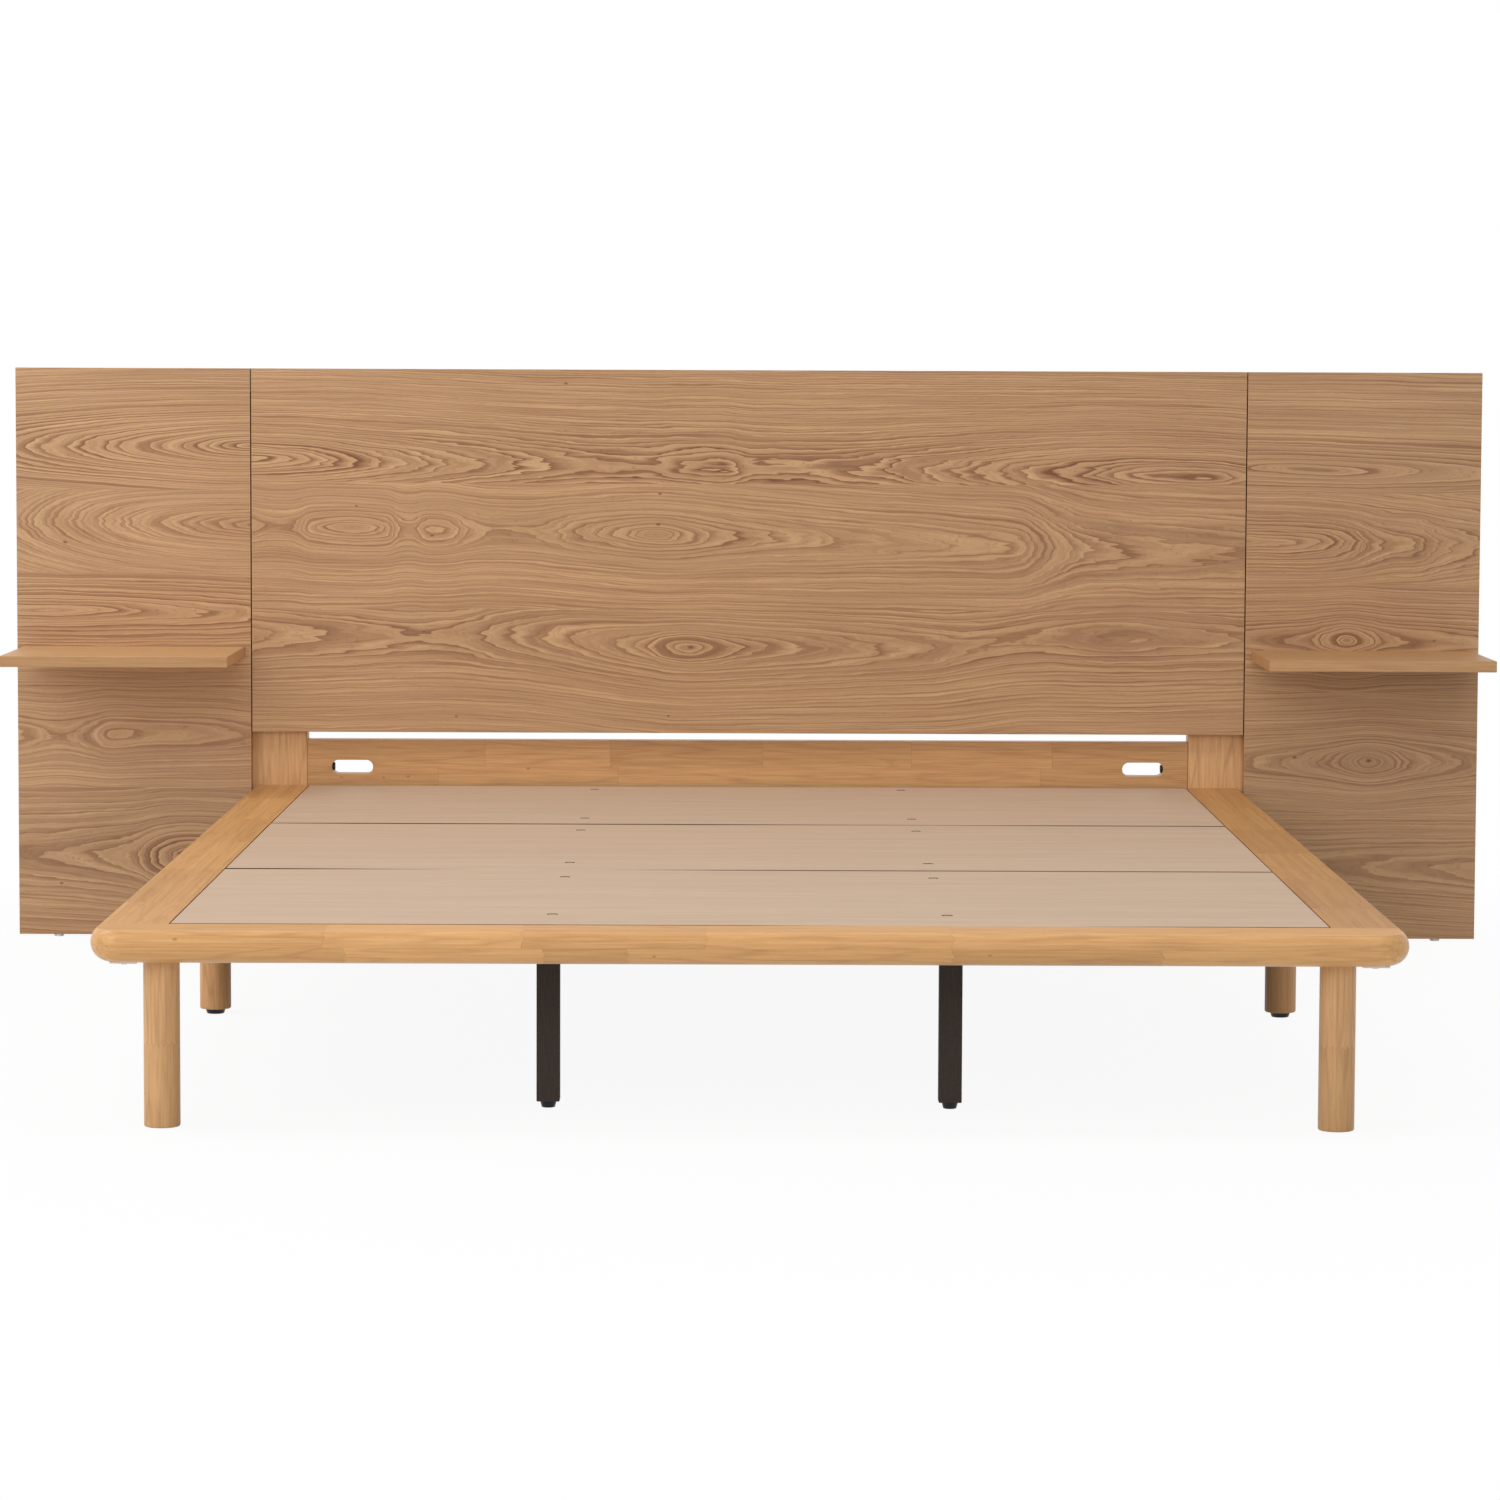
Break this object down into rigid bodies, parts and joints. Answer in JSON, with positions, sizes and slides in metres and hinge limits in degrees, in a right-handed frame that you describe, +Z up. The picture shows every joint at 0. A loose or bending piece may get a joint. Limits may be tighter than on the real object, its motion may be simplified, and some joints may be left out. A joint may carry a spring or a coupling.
{
  "type": "platform bed with attached bedside shelves",
  "caption": "Low platform bed on round legs, with a panelled headboard that reaches the floor at each side and carries a floating bedside shelf on each wing.",
  "frame": {"origin": "middle of the whole bed's footprint, on the floor", "axes": "+X to the right across the bed as seen from its foot, +Y towards the wall behind the headboard, +Z up"},
  "size_m": [2.442, 2.189, 0.952],
  "materials": {
    "veneered_panel": "matt lacquered ash-like veneer, grain across",
    "post_timber": "satin lacquer, upright grain",
    "frame_timber": "semi-gloss lacquered finger-jointed hardwood",
    "leg_timber": "satin lacquer, upright grain",
    "shelf_timber": "matt lacquered veneer with matching edges",
    "pale_timber": "plain planed softwood",
    "laminated_board": "pinkish beige fine-streaked laminate on plywood",
    "black_timber": "rough-sawn timber stained black-brown",
    "black_plastic": "moulded black plastic",
    "zinc_steel": "zinc plated",
    "black_steel": "black oxide",
    "board_screw_steel": "dull plated, flush heads",
    "brass": "plain"
  },
  "bodies": {
    "frame": {"headboard_panel": "veneered_panel", "wing_panel_left": "veneered_panel", "wing_panel_right": "veneered_panel", "post_left": "post_timber", "post_right": "post_timber", "rear_rail": "frame_timber", "rear_rail_left": "frame_timber", "rear_rail_right": "frame_timber", "rear_rail_bolts": "black_steel", "panel_bolts": "zinc_steel", "wing_brackets": "zinc_steel", "wing_glides": "black_plastic", "shelf_left": "shelf_timber", "shelf_right": "shelf_timber", "shelf_batten_left": "pale_timber", "shelf_batten_right": "pale_timber", "shelf_bolts": "zinc_steel", "front_rail": "frame_timber", "side_rail_left": "frame_timber", "side_rail_right": "frame_timber", "side_rail_bolts": "zinc_steel", "side_rail_nuts": "zinc_steel", "corner_dowels": "pale_timber", "corner_plates": "zinc_steel", "ledger_left": "pale_timber", "ledger_right": "pale_timber", "cross_ledgers": "pale_timber", "ledger_screws": "zinc_steel", "centre_beam_left": "pale_timber", "centre_beam_right": "pale_timber", "beam_hangers": "zinc_steel", "bracket_screws": "zinc_steel", "board_rear": "laminated_board", "board_middle": "laminated_board", "board_front": "laminated_board", "board_screws": "board_screw_steel", "leg_front_left": "leg_timber", "leg_front_right": "leg_timber", "leg_mid_left": "leg_timber", "leg_mid_right": "leg_timber", "leg_studs": "zinc_steel", "centre_leg_front_left": "black_timber", "centre_leg_front_right": "black_timber", "centre_leg_rear_left": "black_timber", "centre_leg_rear_right": "black_timber", "centre_leg_bolts": "zinc_steel", "inserts_large": "brass", "inserts_small": "brass"},
    "stud_mid_left": {"foot_stud_mid_left": "zinc_steel"},
    "pad_mid_left": {"foot_pad_mid_left": "black_plastic"},
    "stud_mid_right": {"foot_stud_mid_right": "zinc_steel"},
    "pad_mid_right": {"foot_pad_mid_right": "black_plastic"},
    "stud_front_left": {"foot_stud_front_left": "zinc_steel"},
    "pad_front_left": {"foot_pad_front_left": "black_plastic"},
    "stud_front_right": {"foot_stud_front_right": "zinc_steel"},
    "pad_front_right": {"foot_pad_front_right": "black_plastic"},
    "stud_rear_left": {"foot_stud_rear_left": "zinc_steel"},
    "pad_rear_left": {"foot_pad_rear_left": "black_plastic"},
    "stud_rear_right": {"foot_stud_rear_right": "zinc_steel"},
    "pad_rear_right": {"foot_pad_rear_right": "black_plastic"}
  },
  "joints": [
    {"name": "foot_mid_left_height", "type": "slide", "parent": "frame", "child": "stud_mid_left", "axis": [0, 0, -1], "range_m": [0, 0.01]},
    {"name": "foot_mid_left_turn", "type": "hinge", "parent": "stud_mid_left", "child": "pad_mid_left", "pos_m": [-0.79005, 0.0605, 0.002], "axis": [0, 0, -1], "range_deg": [0, 2880]},
    {"name": "foot_mid_right_height", "type": "slide", "parent": "frame", "child": "stud_mid_right", "axis": [0, 0, -1], "range_m": [0, 0.01]},
    {"name": "foot_mid_right_turn", "type": "hinge", "parent": "stud_mid_right", "child": "pad_mid_right", "pos_m": [0.79005, 0.0605, 0.002], "axis": [0, 0, -1], "range_deg": [0, 2880]},
    {"name": "foot_front_left_height", "type": "slide", "parent": "frame", "child": "stud_front_left", "axis": [0, 0, -1], "range_m": [0, 0.01]},
    {"name": "foot_front_left_turn", "type": "hinge", "parent": "stud_front_left", "child": "pad_front_left", "pos_m": [-0.261, -0.8585, 0.002], "axis": [0, 0, -1], "range_deg": [0, 2880]},
    {"name": "foot_front_right_height", "type": "slide", "parent": "frame", "child": "stud_front_right", "axis": [0, 0, -1], "range_m": [0, 0.01]},
    {"name": "foot_front_right_turn", "type": "hinge", "parent": "stud_front_right", "child": "pad_front_right", "pos_m": [0.261, -0.8585, 0.002], "axis": [0, 0, -1], "range_deg": [0, 2880]},
    {"name": "foot_rear_left_height", "type": "slide", "parent": "frame", "child": "stud_rear_left", "axis": [0, 0, -1], "range_m": [0, 0.01]},
    {"name": "foot_rear_left_turn", "type": "hinge", "parent": "stud_rear_left", "child": "pad_rear_left", "pos_m": [-0.261, 0.9025, 0.002], "axis": [0, 0, -1], "range_deg": [0, 2880]},
    {"name": "foot_rear_right_height", "type": "slide", "parent": "frame", "child": "stud_rear_right", "axis": [0, 0, -1], "range_m": [0, 0.01]},
    {"name": "foot_rear_right_turn", "type": "hinge", "parent": "stud_rear_right", "child": "pad_rear_right", "pos_m": [0.261, 0.9025, 0.002], "axis": [0, 0, -1], "range_deg": [0, 2880]}
  ],
  "couplings": [
    {"joint": "foot_mid_left_height", "follows": "foot_mid_left_turn", "m_per_rad": 0.00019894},
    {"joint": "foot_mid_right_height", "follows": "foot_mid_right_turn", "m_per_rad": 0.00019894},
    {"joint": "foot_front_left_height", "follows": "foot_front_left_turn", "m_per_rad": 0.00019894},
    {"joint": "foot_front_right_height", "follows": "foot_front_right_turn", "m_per_rad": 0.00019894},
    {"joint": "foot_rear_left_height", "follows": "foot_rear_left_turn", "m_per_rad": 0.00019894},
    {"joint": "foot_rear_right_height", "follows": "foot_rear_right_turn", "m_per_rad": 0.00019894}
  ]
}
